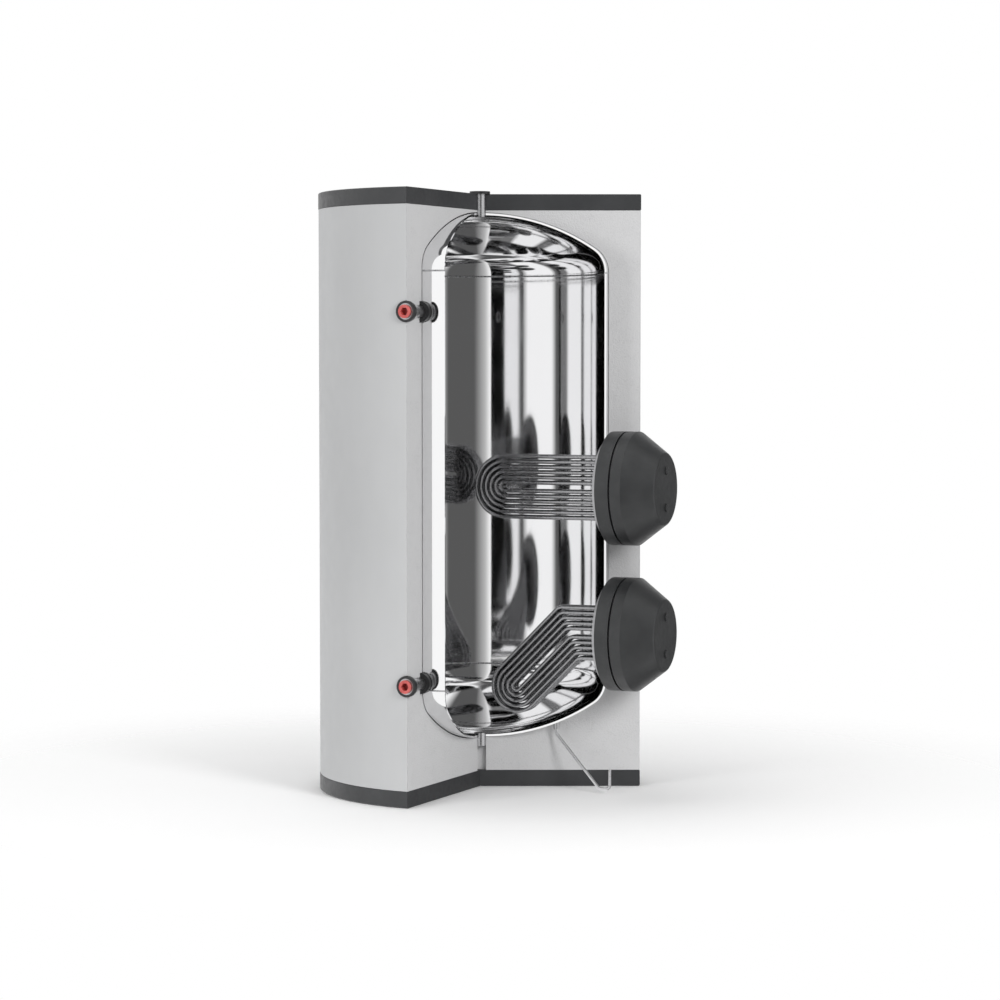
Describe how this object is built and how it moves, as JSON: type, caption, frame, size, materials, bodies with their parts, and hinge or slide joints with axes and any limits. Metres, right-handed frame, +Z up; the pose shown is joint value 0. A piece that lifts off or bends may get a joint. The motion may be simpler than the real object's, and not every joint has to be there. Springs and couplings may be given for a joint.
{
  "type": "solar hot water cylinder",
  "caption": "Sectioned floor-standing storage cylinder for solar hot water: insulated jacket and mirror-polished tank cut open to show flanged U-tube heat exchangers under conical covers.",
  "frame": {"origin": "on the tank's vertical axis, at floor level", "axes": "+Z up, +X along the right-hand cut face of the jacket, the open wedge faces -Y"},
  "size_m": [1.0965, 0.9651, 1.838],
  "materials": {
    "jacket": "matte",
    "foam": "matte",
    "dark_slab": "satin",
    "foot_steel": "satin",
    "polished_steel": "polished",
    "weld_bead": "satin",
    "port_steel": "satin",
    "black_trim": "satin",
    "drain_steel": "satin",
    "washer_rubber": "matte",
    "red_plug": "satin",
    "flange_steel": "satin",
    "bolt_steel": "satin",
    "cover_black": "satin",
    "coil_tube": "satin"
  },
  "bodies": {
    "tank_and_jacket": {"jacket_skin": "jacket", "insulation_foam": "foam", "insulation_foam_base": "foam", "insulation_foam_crown": "foam", "base_plinth": "dark_slab", "tank_feet": "foot_steel", "tank_shell": "polished_steel", "tank_top_head": "polished_steel", "tank_bottom_head": "polished_steel", "upper_weld_seam": "weld_bead", "lower_weld_seam": "weld_bead", "top_port_pipe": "port_steel", "bottom_port_pipe": "port_steel", "drain_boss": "port_steel", "drain_tube": "drain_steel", "upper_port_pipe": "port_steel", "upper_port_socket": "port_steel", "upper_port_collar": "black_trim", "upper_port_rosette": "black_trim", "upper_flange_neck": "flange_steel", "upper_welded_flange": "flange_steel", "upper_gasket": "washer_rubber", "upper_cover_collar": "cover_black", "lower_port_pipe": "port_steel", "lower_port_socket": "port_steel", "lower_port_collar": "black_trim", "lower_port_rosette": "black_trim", "lower_flange_neck": "flange_steel", "lower_welded_flange": "flange_steel", "lower_gasket": "washer_rubber", "lower_tube_plate": "flange_steel", "lower_flange_bolts": "bolt_steel", "lower_header_box": "flange_steel", "lower_coil_connections": "port_steel", "lower_cover_collar": "cover_black", "lower_coil_row_1": "coil_tube", "lower_coil_row_2": "coil_tube", "lower_coil_row_3": "coil_tube"},
    "top_lid": {"top_lid": "dark_slab", "top_port_rosette": "black_trim"},
    "upper_exchanger": {"upper_tube_plate": "flange_steel", "upper_flange_bolts": "bolt_steel", "upper_header_box": "flange_steel", "upper_coil_connections": "port_steel", "upper_coil_row_1": "coil_tube", "upper_coil_row_2": "coil_tube", "upper_coil_row_3": "coil_tube"},
    "upper_cover": {"upper_flange_cover": "cover_black", "upper_cover_caps": "cover_black"},
    "lower_cover": {"lower_flange_cover": "cover_black", "lower_cover_caps": "cover_black"},
    "upper_plug_seal": {"upper_plug_washer": "washer_rubber"},
    "upper_plug": {"upper_port_plug": "red_plug"},
    "lower_plug_seal": {"lower_plug_washer": "washer_rubber"},
    "lower_plug": {"lower_port_plug": "red_plug"}
  },
  "joints": [
    {"name": "lid_lift", "type": "slide", "parent": "tank_and_jacket", "child": "top_lid", "axis": [0, 0, 1], "range_m": [0, 0.25]},
    {"name": "upper_exchanger_withdraw", "type": "slide", "parent": "tank_and_jacket", "child": "upper_exchanger", "axis": [0.9239, -0.3827, 0], "range_m": [0, 0.45]},
    {"name": "upper_cover_pull", "type": "slide", "parent": "upper_exchanger", "child": "upper_cover", "axis": [0.9239, -0.3827, 0], "range_m": [0, 0.16]},
    {"name": "lower_cover_pull", "type": "slide", "parent": "tank_and_jacket", "child": "lower_cover", "axis": [0.9239, -0.3827, 0], "range_m": [0, 0.16]},
    {"name": "upper_plug_out", "type": "slide", "parent": "tank_and_jacket", "child": "upper_plug_seal", "axis": [-0.4337, -0.9011, 0], "range_m": [0, 0.02047]},
    {"name": "upper_plug_turn", "type": "hinge", "parent": "upper_plug_seal", "child": "upper_plug", "pos_m": [-0.21813, -0.45324, 1.465], "axis": [-0.4337, -0.9011, 0], "range_deg": [0, 2880]},
    {"name": "lower_plug_out", "type": "slide", "parent": "tank_and_jacket", "child": "lower_plug_seal", "axis": [-0.4337, -0.9011, 0], "range_m": [0, 0.02047]},
    {"name": "lower_plug_turn", "type": "hinge", "parent": "lower_plug_seal", "child": "lower_plug", "pos_m": [-0.21813, -0.45324, 0.362], "axis": [-0.4337, -0.9011, 0], "range_deg": [0, 2880]}
  ],
  "couplings": [
    {"joint": "upper_plug_out", "follows": "upper_plug_turn", "m_per_rad": 0.00036749},
    {"joint": "lower_plug_out", "follows": "lower_plug_turn", "m_per_rad": 0.00036749}
  ]
}
